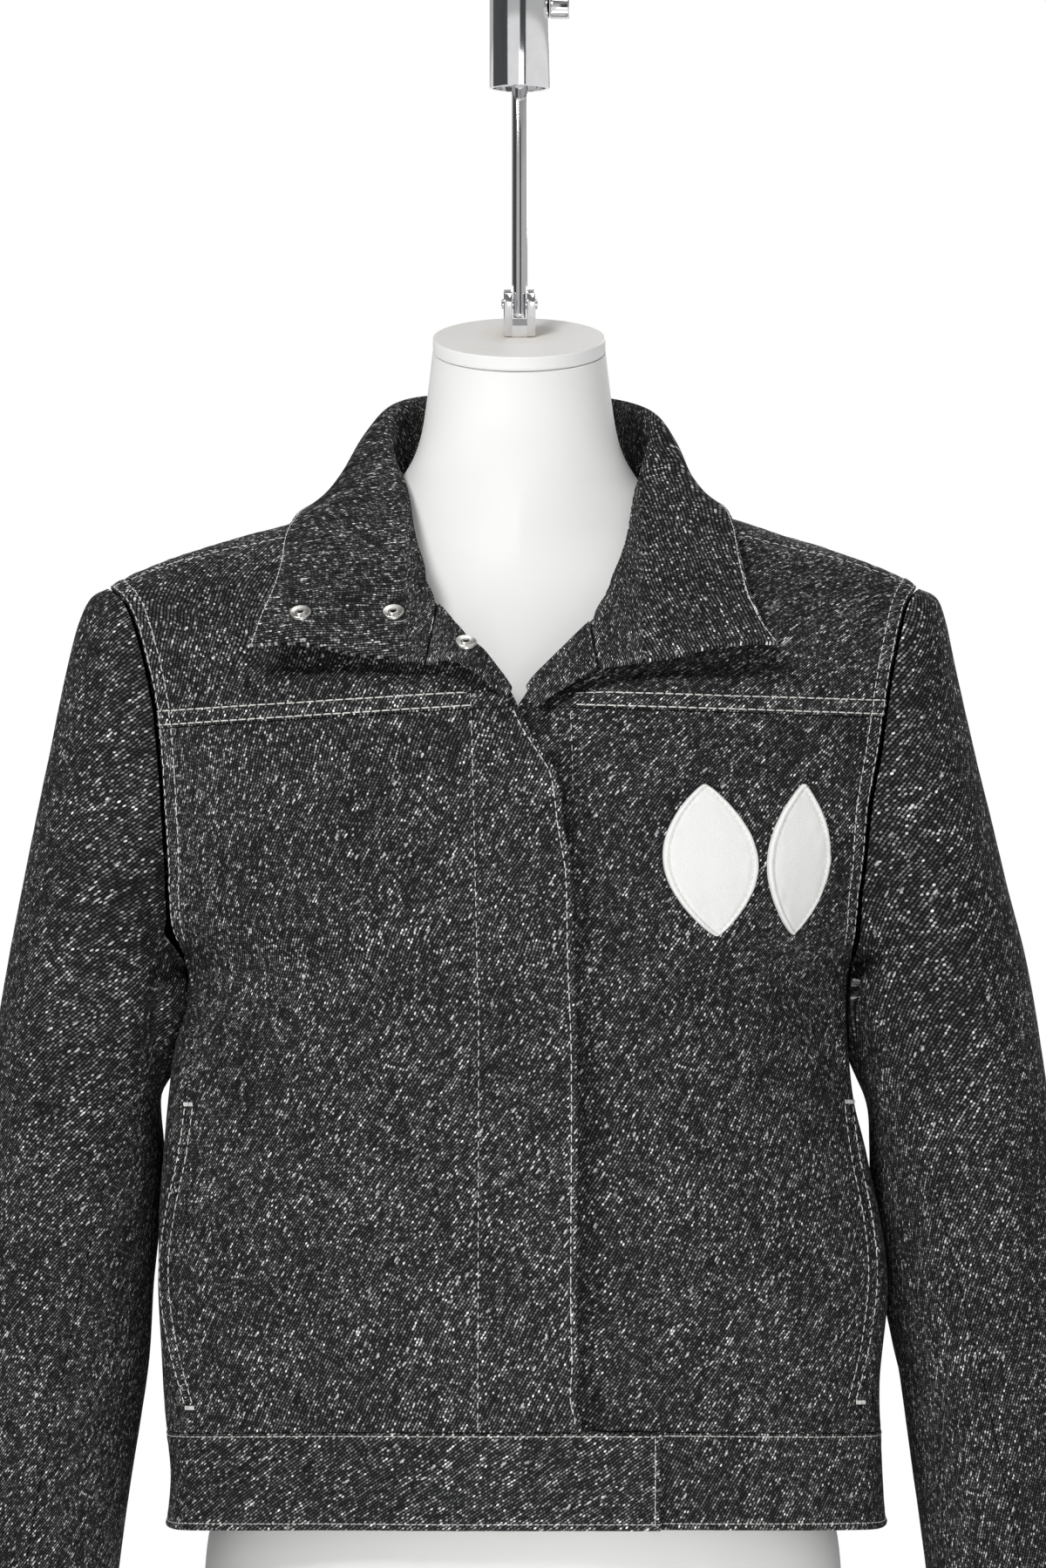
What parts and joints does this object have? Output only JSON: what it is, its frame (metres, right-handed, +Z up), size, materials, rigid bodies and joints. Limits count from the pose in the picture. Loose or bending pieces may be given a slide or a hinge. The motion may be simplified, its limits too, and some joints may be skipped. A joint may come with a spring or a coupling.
{
  "type": "denim jacket on dress form",
  "caption": "Cropped denim jacket with an open folded collar, lapped front and waistband, worn by a limbless dress form that hangs from a rod in a clevis.",
  "frame": {"origin": "centre of the flat base of the dress form", "axes": "+Z up, -Y to the front of the jacket, -X to the wearer's right"},
  "size_m": [0.6016, 0.2227, 0.955],
  "materials": {
    "charcoal_denim": "flecked twill",
    "white_leather": "smooth",
    "polished_steel": "polished",
    "cap_paint": "satin",
    "form_white": "matt"
  },
  "bodies": {
    "root": {"front_right": "charcoal_denim", "front_left": "charcoal_denim", "yoke_right": "charcoal_denim", "yoke_left": "charcoal_denim", "side_right": "charcoal_denim", "side_left": "charcoal_denim", "back": "charcoal_denim", "waistband_right": "charcoal_denim", "waistband_left": "charcoal_denim", "waistband_back": "charcoal_denim", "top_sleeve_right": "charcoal_denim", "top_sleeve_left": "charcoal_denim", "under_sleeve_right": "charcoal_denim", "under_sleeve_left": "charcoal_denim", "collar": "charcoal_denim", "facing_right": "charcoal_denim", "facing_left": "charcoal_denim", "patch_inner": "white_leather", "patch_outer": "white_leather", "dress_form": "form_white", "neck_cap": "cap_paint", "snap_right_outer": "polished_steel", "snap_right_inner": "polished_steel", "snap_right_facing": "polished_steel", "clevis": "polished_steel", "clevis_pin": "polished_steel", "rod": "polished_steel", "drop_tube": "polished_steel", "clamp_screw": "polished_steel"}
  },
  "joints": []
}
